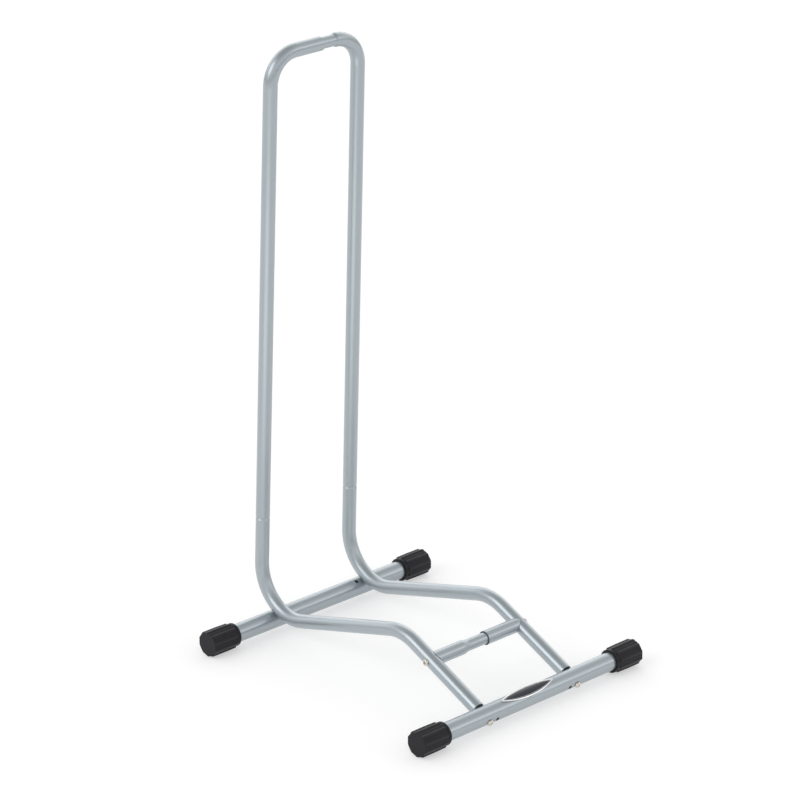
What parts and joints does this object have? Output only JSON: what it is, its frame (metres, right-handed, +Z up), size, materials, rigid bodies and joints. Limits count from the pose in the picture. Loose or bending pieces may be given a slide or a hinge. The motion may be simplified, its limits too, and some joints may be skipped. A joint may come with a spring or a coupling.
{
  "type": "floor bike rack",
  "caption": "Free-standing floor rack of bent steel tube: low side frames and a tall hoop hold a bicycle upright by its wheel, on foot tubes with ribbed rubber caps.",
  "frame": {"origin": "on the floor, under the middle of the whole", "axes": "+Z up; X along the foot tubes; -Y is the front, where the wheel rolls in, and +Y the side of the hoop"},
  "size_m": [0.394, 0.4496, 0.8093],
  "materials": {
    "tube_paint": "smooth silver-grey powder coat",
    "cap_rubber": "matt black, moulded",
    "badge_metal": "bright rim round a dark sunk field, bare of any mark",
    "pad_foam": "dark adhesive pad",
    "screw_zinc": "zinc plated",
    "plug_steel": "plain steel, hidden"
  },
  "bodies": {
    "root": {"upper_frame_left": "tube_paint", "upper_frame_right": "tube_paint", "lower_frame_left": "tube_paint", "lower_frame_right": "tube_paint", "front_foot_tube": "tube_paint", "rear_foot_tube": "tube_paint", "crossbar_inner": "tube_paint", "crossbar_sleeve": "tube_paint", "foot_cap_front_left": "cap_rubber", "foot_cap_front_right": "cap_rubber", "foot_cap_rear_left": "cap_rubber", "foot_cap_rear_right": "cap_rubber", "badge_plate": "badge_metal", "badge_pad": "pad_foam", "front_foot_screw_left": "screw_zinc", "front_foot_screw_right": "screw_zinc", "rear_foot_screw_left": "screw_zinc", "rear_foot_screw_right": "screw_zinc", "crossbar_screw_left": "screw_zinc", "crossbar_screw_right": "screw_zinc", "leg_plug_left": "plug_steel", "leg_plug_right": "plug_steel", "crossbar_plug_left": "plug_steel", "crossbar_plug_right": "plug_steel", "rear_rivet_nut_left": "plug_steel", "rear_rivet_nut_right": "plug_steel"}
  },
  "joints": []
}
